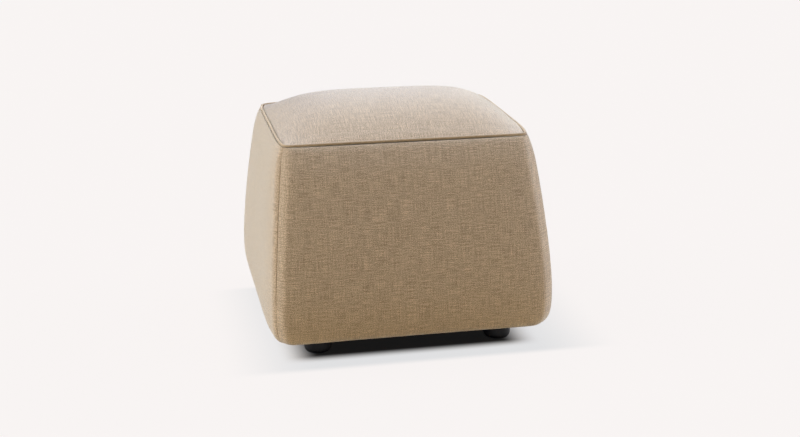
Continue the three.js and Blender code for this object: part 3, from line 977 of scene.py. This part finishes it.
    def press(self, piece: bpy.types.Object, fitted: Array, normal: Array, edge: Array) -> None:
        """Args:
            piece: The panel.
            fitted: The fitted skin's points.
            normal: The skin's outward directions there.
            edge: Distances from the nearest edge.
        """
        ease = np.clip((edge - self.pinned_edge) / self.inset_reach, 0, 1)
        Workshop.move(piece, fitted - normal * (self.start_inset * smooth_climb(ease))[:, None])
        self.swell(piece, fitted, normal, edge < self.pinned_edge)

    def finish(self, piece: bpy.types.Object, node: str) -> bpy.types.Object:
        """Gives the cloth its thickness and smoothness, and dresses it.

        Args:
            piece: The swollen panel.
            node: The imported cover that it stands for.

        Returns:
            The piece.
        """
        wall = piece.modifiers.new("Cloth", "SOLIDIFY")
        wall.thickness = self.cloth_thickness
        wall.offset = -1
        smooth = piece.modifiers.new("Smooth", "SUBSURF")
        smooth.levels = smooth.render_levels = 1
        Workshop.apply(piece)
        bpy.ops.object.shade_smooth()
        Workshop.dress(piece, Finish.UPHOLSTERY, "seat", [node])
        return piece


@dataclass
class SidePanel(SewnPanel):
    """One tapered side, from the piping to the edge that turns under the frame."""

    side: Side = Side.FRONT
    seam_sink: float = 0.5 * MM
    seam_sink_reach: float = 5 * MM
    pucker_start: float = 2 * MM
    pucker_slope: float = 1.5
    pucker_stretch: float = 0.3
    pucker_seed: float = 7.3
    groove_span: tuple[float, float, float, float] = (15 * MM, 45 * MM, 225 * MM, 275 * MM)
    closed_groove: float = 0.3
    hem_ease: float = 0.6
    left_wrap: float = math.radians(13)
    right_wrap: float = math.radians(34)
    flank_samples: int = 160
    tuck_samples: int = 60
    hem_samples: int = 8
    mean_samples: int = 9
    table: dict[str, Array] = field(default_factory=dict)

    def __post_init__(self) -> None:
        """Tabulates the outline against the distance down the cloth."""
        form = self.outline
        flank = np.linspace(form.seam_height - form.piping_radius, form.widest_height, self.flank_samples)
        turn = np.linspace(0, QUARTER_TURN, self.tuck_samples)[1:]
        tuck = form.widest_height - (form.widest_height - form.hem_height) * np.sin(turn)
        table = form.at(np.concatenate([flank, tuck]))
        last = {key: values[-1] for key, values in table.items()}
        edge = {"half_width": form.hem_edge_half_width, "half_depth": form.hem_edge_half_depth, "bow": 0.0}
        edge = {**last, **edge}
        blend = np.linspace(0, 1, self.hem_samples)[1:]
        table = {
            key: np.concatenate([values, last[key] + (edge[key] - last[key]) * blend])
            for key, values in table.items()
        }
        out = table["half_depth"] if self.side.faces_front_or_rear else table["half_width"]
        steps = np.hypot(np.diff(table["height"]), np.diff(out))
        self.table = {**table, "down": np.concatenate([[0.0], np.cumsum(steps)])}

    def sizes(self, down: Array) -> dict[str, Array]:
        """The outline's sizes on the cloth.

        Args:
            down: Distances down the cloth.

        Returns:
            The sizes there, by name.
        """
        return {
            key: np.interp(down, self.table["down"], values)
            for key, values in self.table.items()
            if key != "down"
        }

    def reach_to(self, end: int, sizes: dict[str, Array]) -> Array:
        """The cloth from its middle line to a corner seam, which lies towards the left and right panels.

        Args:
            end: -1 for the seam on the left as seen from outside, or 1 for the one on the right.
            sizes: The outline's sizes.

        Returns:
            The lengths.
        """
        across = self.side.faces_front_or_rear
        half = sizes["half_width"] if across else sizes["half_depth"]
        left_corner = self.side is Side.LEFT or (self.side, end) in ((Side.FRONT, -1), (Side.REAR, 1))
        wrap = self.left_wrap if left_corner else self.right_wrap
        return half - sizes["radius"] + sizes["radius"] * (HALF_CORNER + (wrap if across else -wrap))

    def section(
        self, sizes: dict[str, Array], half: Array, out: Array, angle: Array, straight: Array
    ) -> tuple[Array, Array]:
        """A level cut through one side, up to the middle of its corner.

        Args:
            sizes: The outline's sizes at each point's height.
            half: Half the side's length.
            out: How far out the side is.
            angle: How far each point is round the corner, 0 on the side's straight part.
            straight: Each point's distance from the side's middle on that part.

        Returns:
            The points' places along the side and out from the middle.
        """
        radius = sizes["radius"]
        along = np.where(angle > 0, half - radius + radius * np.sin(angle), straight)
        bow = sizes["bow"] * (1 - (along / half) ** self.outline.bow_power) * np.cos(2 * angle)
        return along, out - radius * (1 - np.cos(angle)) + bow

    def skin(self, across: Array, down: Array) -> Array:
        """Points of the side.

        Args:
            across: Distances from the side's middle line, along the cloth.
            down: Distances below the piping, along the cloth.

        Returns:
            The points.
        """
        sizes = self.sizes(down)
        wide, deep = sizes["half_width"], sizes["half_depth"]
        half, out = (wide, deep) if self.side.faces_front_or_rear else (deep, wide)
        flat = half - sizes["radius"]
        angle = np.maximum(np.abs(across) - flat, 0) / sizes["radius"]
        near, near_reach = self.section(sizes, half, out, np.minimum(angle, HALF_CORNER), np.abs(across))
        # Past the middle of its corner the cloth follows the next side, whose section is taken instead.
        beyond = np.clip(QUARTER_TURN - angle, TINY, HALF_CORNER)
        far_reach, far = self.section(sizes, out, half, beyond, np.zeros_like(half))
        along = np.sign(across) * np.where(angle > HALF_CORNER, far, near)
        reach = np.where(angle > HALF_CORNER, far_reach, near_reach)
        corner = np.abs(along) / half * np.minimum(reach / out, 1)
        height = sizes["height"] - sizes["droop"] * corner**self.outline.droop_power
        turn = self.side.value * QUARTER_TURN
        cosine, sine = math.cos(turn), math.sin(turn)
        return np.stack([along * cosine + reach * sine, along * sine - reach * cosine, height], -1)

    def groove(self, down: Array) -> Array:
        """How far the groove at the side seams is open.

        Args:
            down: Distances down the cloth.

        Returns:
            Shares from 0 to 1.
        """
        opens, opened, closes, closed = self.groove_span
        share = np.interp(down, [opens, opened, closes, closed], [0, 1, 1, 0])
        return self.closed_groove + (1 - self.closed_groove) * smooth_climb(share)

    def build(self) -> bpy.types.Object:
        """Builds the side.

        Returns:
            The finished piece.
        """
        total = float(self.table["down"][-1])
        samples = np.linspace(0, total, self.mean_samples)
        middle = float(np.mean(self.reach_to(1, self.sizes(samples))))
        rolled, piped = self.rolled_edge(self.roll_radius), self.rolled_edge(self.piping_roll)
        stapled = self.stapled_edge()
        c_share, c_gap, c_depth = self.stations(2 * middle, rolled, rolled)
        r_share, r_gap, r_depth = self.stations(total, piped, stapled)
        piece, column, row = Workshop.grid(self.name, len(c_share), len(r_share))
        down = self.spread(r_share, r_gap, 0.0, total, piped, stapled)[row]
        left, right = (self.reach_to(end, self.sizes(down)) for end in (-1, 1))
        # The roll into a corner seam shrinks where the groove is shut, and the flap behind it follows.
        sunk = c_depth[column]
        open_share = self.groove(down)
        gap = c_gap[column] * np.where(sunk > 0, open_share, 1)
        across = self.spread(c_share[column], gap, -left, right, rolled, rolled)
        closed = self.roll_radius * (1 - open_share)
        depth = np.maximum(np.where(sunk < self.roll_radius, sunk * open_share, sunk - closed), r_depth[row])
        to_seam = np.minimum(across + left, right - across)
        depth = depth + self.seam_sink * np.exp(-to_seam / self.seam_sink_reach)
        normal = self.outward(across, down)
        fitted = self.skin(across, down) - normal * (depth + self.puckers(across, down, to_seam))[:, None]
        edge = np.minimum(to_seam, np.minimum(down, (total - down) * self.hem_ease))
        self.press(piece, fitted, normal, edge)
        folded = np.where(r_share[row] < 0.5, -1, 1) * r_depth[row]
        Workshop.map_cloth(piece, across + np.sign(across) * sunk, -(down + folded))
        return self.finish(piece, self.side.name.lower() + "_cover")

    def puckers(self, across: Array, down: Array, to_seam: Array) -> Array:
        """The small puckers that the stitches pull beside the seams.

        Args:
            across: Distances from the side's middle line.
            down: Distances below the piping.
            to_seam: Distances from the nearer corner seam.

        Returns:
            How deep they are.
        """
        pitch, seed = self.pucker_pitch, self.side.value * self.pucker_seed
        reach = np.minimum(to_seam, down * self.pucker_slope + self.pucker_start)
        fade = self.pucker * np.exp(-reach / self.pucker_reach)
        beside = to_seam < down
        outer, inner = np.where(beside, across, down * 3), np.where(beside, down, across)
        waves = [Vector((a / pitch * self.pucker_stretch, d / pitch, seed)) for a, d in zip(outer, inner)]
        return fade * (1 + np.array([noise.noise(wave) for wave in waves]))


@dataclass
class TopPanel(SewnPanel):
    """The crowned top, from piping to piping."""

    edge_inset: float = 2.3 * MM
    top_roll: float = 0.7 * MM
    pucker_seed: float = 0.4

    def half_sizes(self, x: Array, y: Array) -> tuple[Array, Array]:
        """The panel's half width and half depth, which its bows make larger near its middle lines.

        Args:
            x: Places across.
            y: Places from front to rear.

        Returns:
            The half widths and half depths.
        """
        form = self.outline
        deep = np.clip(np.abs(y) / form.seam_half_depth, 0, 1)
        wide = np.clip(np.abs(x) / form.seam_half_width, 0, 1)
        half_width = form.seam_half_width - self.edge_inset + form.seam_bow * (1 - deep**form.bow_power)
        half_depth = form.seam_half_depth - self.edge_inset + form.seam_bow * (1 - wide**form.bow_power)
        return half_width, half_depth

    def skin(self, across: Array, down: Array) -> Array:
        """Points of the top.

        Args:
            across: Places from the left to the right.
            down: Places from the rear to the front.

        Returns:
            The points.
        """
        radius = self.outline.seam_corner_radius - self.edge_inset
        half_width, half_depth = self.half_sizes(across, down)
        over_x = np.maximum(np.abs(across) - (half_width - radius), 0)
        over_y = np.maximum(np.abs(down) - (half_depth - radius), 0)
        far = np.hypot(over_x, over_y)
        pull = np.where((over_x > 0) & (over_y > 0), np.maximum(over_x, over_y) / np.maximum(far, TINY), 1)
        x = np.sign(across) * (np.minimum(np.abs(across), half_width - radius) + over_x * pull)
        y = -np.sign(down) * (np.minimum(np.abs(down), half_depth - radius) + over_y * pull)
        return np.stack([x, y, self.outline.crown(x, y)], -1)

    def build(self) -> bpy.types.Object:
        """Builds the top.

        Returns:
            The finished piece.
        """
        form = self.outline
        rolled = self.rolled_edge(self.top_roll)
        c_share, c_gap, c_depth = self.stations(2 * form.seam_half_width, rolled, rolled)
        r_share, r_gap, r_depth = self.stations(2 * form.seam_half_depth, rolled, rolled)
        piece, column, row = Workshop.grid(self.name, len(c_share), len(r_share))
        rough_x = (2 * c_share[column] - 1) * form.seam_half_width
        rough_y = (2 * r_share[row] - 1) * form.seam_half_depth
        half_width, half_depth = self.half_sizes(rough_x, rough_y)
        across = self.spread(c_share[column], c_gap[column], -half_width, half_width, rolled, rolled)
        down = self.spread(r_share[row], r_gap[row], -half_depth, half_depth, rolled, rolled)
        normal = self.outward(across, down)
        edge = np.minimum(half_width - np.abs(across), half_depth - np.abs(down))
        fade = self.pucker * np.exp(-edge / self.pucker_reach)
        waves = [Vector((a, d, self.pucker_seed)) / self.pucker_pitch for a, d in zip(across, down)]
        ripple = np.array([noise.noise(wave) for wave in waves])
        depth = np.maximum(c_depth[column], r_depth[row]) + fade * (1 + ripple)
        fitted = self.skin(across, down) - normal * depth[:, None]
        self.press(piece, fitted, normal, edge)
        Workshop.map_cloth(piece, down, across)
        return self.finish(piece, "top_cover")


@dataclass
class Piping:
    """The cloth-covered cord sewn into the seam round the top."""

    outline: BodyOutline
    name: str = "piping"
    spacing: float = 3 * MM
    sides: int = 16

    def seam(self) -> Array:
        """Follows the seam all round the top.

        Returns:
            Points along it.
        """
        form = self.outline
        ring = []
        for side in Side:
            # This panel's cloth is all at the seam's height, so its skin is the seam.
            panel = SidePanel(f"seam_{side.name}", form, side=side)
            at_seam = form.at(np.array([form.seam_height]))
            panel.table = {key: np.repeat(value, 2) for key, value in at_seam.items()}
            panel.table["down"] = np.array([0.0, 1.0])
            left, right = (float(panel.reach_to(end, at_seam)[0]) for end in (-1, 1))
            count = int(round((left + right) / self.spacing))
            across = np.linspace(-left, right, count, endpoint=False)
            ring.append(panel.skin(across, np.zeros(count)))
        return np.concatenate(ring)

    def build(self) -> bpy.types.Object:
        """Builds the piping as a tube along the seam.

        Returns:
            The finished piece.
        """
        ring = self.seam()
        bpy.ops.object.select_all(action="DESELECT")
        bpy.ops.curve.primitive_bezier_circle_add()
        piece = bpy.context.active_object
        piece.name = piece.data.name = self.name
        curve = piece.data
        curve.splines.clear()
        spline = curve.splines.new("POLY")
        spline.points.add(len(ring) - 1)
        flat = np.concatenate([ring, np.ones((len(ring), 1))], 1)
        spline.points.foreach_set("co", flat.ravel())
        spline.use_cyclic_u = True
        curve.dimensions = "3D"
        curve.twist_mode = "Z_UP"
        curve.bevel_depth = self.outline.piping_radius
        curve.bevel_resolution = self.sides // 4 - 1
        Workshop.only(piece)
        bpy.ops.object.convert(target="MESH")
        piece = bpy.context.active_object
        Workshop.turn_outwards(piece)
        bpy.ops.object.shade_smooth()
        Workshop.dress(piece, Finish.PIPING, "seat", ["seam_piping"])
        return piece


# Base


@dataclass
class Foot:
    """A round moulded foot, screwed up into the base bar."""

    corner: str
    node_box: tuple[Vector, Vector]
    top_radius: float = 26 * MM
    flat_radius: float = 19 * MM
    bowl_height: float = 10 * MM
    height: float = 26 * MM
    draft: float = 0.4 * MM
    groove_drop: float = 3.4 * MM
    groove_depth: float = 0.6 * MM
    groove_width: float = 1 * MM
    rim_radius: float = 1.2 * MM
    stud_radius: float = 4 * MM
    recess_radius: float = 7.5 * MM
    recess_depth: float = 9 * MM
    recess_bevel: float = 1 * MM
    groove_flank: float = 0.4
    turns: int = 9
    steps: int = 64

    def arc(
        self, centre: tuple[float, float], reach: tuple[float, float], start: float, end: float
    ) -> Stations:
        """Points on a quarter of an ellipse.

        Args:
            centre: Its centre, as radius and height.
            reach: Its half axes.
            start: The first angle in degrees, from straight outwards towards straight up.
            end: The last angle.

        Returns:
            The points, as radius and height.
        """
        angles = np.radians(np.linspace(start, end, self.turns))
        return [(centre[0] + reach[0] * math.cos(a), centre[1] + reach[1] * math.sin(a)) for a in angles]

    def profile(self) -> Stations:
        """The foot's section from the recess under it up to its stud.

        Returns:
            Its points, as radius and height.
        """
        bevel = self.recess_bevel
        points = [(0.0, self.recess_depth), (self.recess_radius - bevel, self.recess_depth)]
        points += [(self.recess_radius, bevel), (self.recess_radius + bevel, 0.0)]
        side = self.top_radius - self.draft
        bowl = (side - self.flat_radius, self.bowl_height)
        points += self.arc((self.flat_radius, self.bowl_height), bowl, -90, 0)
        outer = side + self.draft / 2
        inner = outer - self.groove_depth
        groove, width, flank = self.height - self.groove_drop, self.groove_width, self.groove_flank
        points += [(outer, groove - width), (inner, groove - width * (1 - flank))]
        points += [(inner, groove), (self.top_radius, groove + width * flank)]
        shoulder = (self.top_radius - self.rim_radius, self.height - self.rim_radius)
        points += self.arc(shoulder, (self.rim_radius, self.rim_radius), 0, 90)
        top = self.node_box[1].z
        return points + [(self.stud_radius, self.height), (self.stud_radius, top), (0.0, top)]

    def build(self) -> bpy.types.Object:
        """Builds the foot by spinning its section.

        Returns:
            The finished piece.
        """
        low, high = self.node_box
        centre = (low + high) / 2
        turning = Turning(f"{self.corner}_moulded_foot", self.profile(), self.steps)
        piece = turning.build((centre.x, centre.y, 0.0))
        Workshop.dress(piece, Finish.BLACK_PLASTIC, "base", [f"{self.corner}_foot"])
        return piece


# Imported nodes


@dataclass
class CadFinishes:
    """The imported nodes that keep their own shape, each with its slot's finish and softened edges."""

    edge_width: float = 0.5 * MM
    edge_segments: int = 2
    sharp_angle: float = math.radians(40)
    left_sharp: tuple[str, ...] = ("foam",)

    def soften(self, node: bpy.types.Object) -> None:
        """Breaks a hard piece's sharp edges, as a file or a die does.

        Args:
            node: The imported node, which keeps its own mesh under live modifiers.
        """
        if node.name.endswith(self.left_sharp):
            return
        weld = node.modifiers.new("Weld", "WELD")
        weld.merge_threshold = SAME_PLACE
        bevel = node.modifiers.new("Edges", "BEVEL")
        bevel.width = self.edge_width
        bevel.segments = self.edge_segments
        bevel.limit_method = "ANGLE"
        bevel.angle_limit = self.sharp_angle
        bevel.harden_normals = True

    def dress(self, frame: dict[str, Any], replaced: set[str]) -> None:
        """Gives every shown node its material.

        Args:
            replaced: Names of the nodes that new pieces stand for.
        """
        finishes = {finish.slot: finish for finish in Finish}
        slots = {part["node"]: part["material_slot"] for part in frame["record"]["subparts"]}
        for name, node in frame["nodes"].items():
            if name in replaced:
                continue
            node.data.materials.clear()
            node.data.materials.append(finishes[slots[name]].material())
            self.soften(node)
            LOG.info("%s keeps its packed shape", name)


# Studio


@dataclass(frozen=True)
class SoftLight:
    """A distant soft light: where it stands, and its level on a face square to it in each colour."""

    name: str
    towards: Triple
    level: Colour

    def place(self, softness: float) -> None:
        """Adds the light.

        Args:
            softness: The angle of the sky that it fills.
        """
        data = bpy.data.lights.new(self.name, "SUN")
        light = bpy.data.objects.new(self.name, data)
        bpy.context.scene.collection.objects.link(light)
        data.energy = math.pi
        data.angle = softness
        data.color = self.level
        light.rotation_euler = (-Vector(self.towards)).to_track_quat("-Z", "Y").to_euler()


@dataclass
class Studio:
    """The pale floor with its painted shadow and shade, the soft lights and the camera."""

    pale: Colour = (0.939, 0.905, 0.896)
    lens: float = 59.47
    distance: float = 2.6007
    azimuth: float = math.radians(11.69)
    elevation: float = math.radians(17.82)
    sensor: float = 36
    aim: Triple = (0.0, 0.0, 0.184)
    shift: tuple[float, float] = (0.01476, 0.0003)
    floor_size: float = 60
    bounce: Colour = (0.70, 0.575, 0.36)
    footprint: tuple[float, float] = (0.175, 0.213)
    # Painted shade: under the body the floor's lit colour is darkened to this share.
    painted_shade_level: float = 0.04
    painted_shade_reach: tuple[float, float] = (0.075, 0.035)
    core_share: float = 0.99
    open_share: float = 0.03
    # Painted shadow: round the body the floor's plain colour is tinted by this much.
    shade: Colour = (0.81, 0.845, 0.865)
    painted_shadow_middle: tuple[float, float] = (0.02, -0.06)
    painted_shadow_half: tuple[float, float] = (0.19, 0.205)
    painted_shadow_fade: tuple[float, float] = (0.19, 0.025)
    softness: float = math.radians(50)
    rig: tuple[SoftLight, ...] = (
        SoftLight("left", (-1.0, 0.0, 0.05), (0.25, 0.27, 0.335)),
        SoftLight("left_high", (-0.75, 0.1, 0.66), (0.66, 0.65, 0.635)),
        SoftLight("top_rear", (0.0, 0.5, 0.85), (0.37, 0.425, 0.48)),
        SoftLight("top", (0.0, 0.35, 1.0), (0.12, 0.13, 0.15)),
        SoftLight("right", (1.0, 0.0, 0.1), (0.73, 0.71, 0.69)),
        SoftLight("right_rear", (0.8, 0.6, 0.15), (0.32, 0.32, 0.32)),
        SoftLight("right_high", (0.7, 0.1, 0.7), (0.12, 0.15, 0.26)),
    )

    def camera(self) -> None:
        """Sets the camera at the photographed angle."""
        data = bpy.data.cameras.new("camera")
        camera = bpy.data.objects.new("camera", data)
        bpy.context.scene.collection.objects.link(camera)
        level, up = math.cos(self.elevation), math.sin(self.elevation)
        back = Vector((-math.sin(self.azimuth) * level, -math.cos(self.azimuth) * level, up))
        camera.location = Vector(self.aim) + back * self.distance
        camera.rotation_euler = (-back).to_track_quat("-Z", "Y").to_euler()
        data.lens = self.lens
        data.sensor_width = self.sensor
        data.shift_x, data.shift_y = self.shift
        bpy.context.scene.camera = camera

    @staticmethod
    def seen(shader: Shader) -> Socket:
        """Tells the rays that show the background: straight, mirrored or through glass.

        Args:
            shader: The material or world under construction.

        Returns:
            1 for those rays and 0 for the others.
        """
        kinds = [
            shader.node("ShaderNodeLightPath", output=kind)
            for kind in ("Is Camera Ray", "Is Glossy Ray", "Is Transmission Ray")
        ]
        either = shader.node("ShaderNodeMath", {"operation": "MAXIMUM"}, {0: kinds[0], 1: kinds[1]})
        return shader.node("ShaderNodeMath", {"operation": "MAXIMUM"}, {0: either, 1: kinds[2]})

    def lights(self) -> None:
        """Adds the soft lights, and a pale world that only shows behind the object."""
        for light in self.rig:
            light.place(self.softness)
        world = bpy.context.scene.world or bpy.data.worlds.new("studio")
        bpy.context.scene.world = world
        world.use_nodes = True
        shader = Shader("", world.node_tree)
        dark, shown = (
            shader.node("ShaderNodeBackground", inputs={"Color": self.pale, "Strength": strength})
            for strength in (0.0, 1.0)
        )
        mix = shader.node("ShaderNodeMixShader", inputs={0: self.seen(shader), 1: dark, 2: shown})
        shader.node("ShaderNodeOutputWorld", inputs={"Surface": mix})

    def floor_level(self) -> Colour:
        """The light that falls on the open floor, in each colour."""
        falls = [(light.level, Vector(light.towards).normalized().z) for light in self.rig]
        return tuple(sum(level[part] * up for level, up in falls) for part in range(3))

    def painted_shade_under_body(self, axes: list[Socket]) -> Socket:
        """Tells where the body stands over the floor, where the floor's lit colour gets a dark painted
        shade.

        Args:
            axes: The floor's coordinates, across and from front to rear.

        Returns:
            1 under the body and 0 past it.
        """
        aside, ahead = (
            1 - (axis.magnitude() - half).between(0.0, reach)
            for axis, half, reach in zip(axes, self.footprint, self.painted_shade_reach)
        )
        return aside * ahead

    def painted_shadow_round_body(self, axes: list[Socket]) -> Socket:
        """Tells where a faint shadow is painted on the floor round the body.

        Args:
            axes: The floor's coordinates, across and from front to rear.

        Returns:
            1 near the body and 0 on the open floor.
        """
        aside, ahead = (
            1 - ((axis - middle).magnitude() - half).between(0.0, fade)
            for axis, middle, half, fade in zip(axes, self.painted_shadow_middle, self.painted_shadow_half, self.painted_shadow_fade)
        )
        return aside * ahead

    def floor(self) -> None:
        """Lays the floor, seen as its plain pale colour with a faint shadow painted round the body, and
        under the body as its lit colour, with real shadow and a dark painted shade.
        """
        bpy.ops.object.select_all(action="DESELECT")
        bpy.ops.mesh.primitive_plane_add(size=self.floor_size)
        floor = bpy.context.active_object
        floor.name = floor.data.name = "studio_floor"
        shader = Shader("pale_floor")
        bounce = shader.node("ShaderNodeBsdfDiffuse", inputs={"Color": self.bounce})
        place = shader.node("ShaderNodeTexCoord", output="Object")
        axes = [shader.node("ShaderNodeSeparateXYZ", inputs={0: place}, output=axis) for axis in "XY"]
        painted_shade_mask = self.painted_shade_under_body(axes)
        # Painted shadow: the plain colour is tinted a little darker round the body.
        painted_shadow_colour = tuple(part * share for part, share in zip(self.pale, self.shade))
        glow = {"Color": shader.blend(self.painted_shadow_round_body(axes), self.pale, painted_shadow_colour), "Strength": 1.0}
        plain = shader.node("ShaderNodeEmission", inputs=glow)
        open_colour = tuple(part / level for part, level in zip(self.pale, self.floor_level()))
        # Painted shade: the lit colour is darkened under the body, on top of the real shadow there.
        painted_shade_colour = tuple(part * self.painted_shade_level for part in open_colour)
        under = shader.blend(painted_shade_mask, open_colour, painted_shade_colour)
        lit = shader.node("ShaderNodeBsdfDiffuse", inputs={"Color": under})
        share = self.open_share + painted_shade_mask * (self.core_share - self.open_share)
        shown = shader.node("ShaderNodeMixShader", inputs={0: share, 1: plain, 2: lit})
        mix = shader.node("ShaderNodeMixShader", inputs={0: self.seen(shader), 1: bounce, 2: shown})
        floor.data.materials.append(shader.output(mix))

    def build(self) -> None:
        """Builds the whole studio."""
        self.camera()
        self.lights()
        self.floor()
        bpy.context.scene.view_settings.view_transform = "Standard"


def main() -> None:
    """Builds the ottoman's pieces in order."""
    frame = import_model()
    Studio().build()
    outline = BodyOutline()
    TopPanel("top_panel", outline).build()
    for side in Side:
        SidePanel(f"{side.name.lower()}_panel", outline, side=side).build()
    Piping(outline).build()
    corners = ["front_left", "front_right", "rear_left", "rear_right"]
    for corner in corners:
        Foot(corner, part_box(f"{corner}_foot")).build()
    replaced = {"top_cover", "seam_piping"}
    replaced |= {f"{side.name.lower()}_cover" for side in Side}
    replaced |= {f"{corner}_foot" for corner in corners}
    CadFinishes().dress(frame, replaced)


if __name__ == "__main__":
    logging.basicConfig(level=logging.INFO, format="%(message)s")
    main()
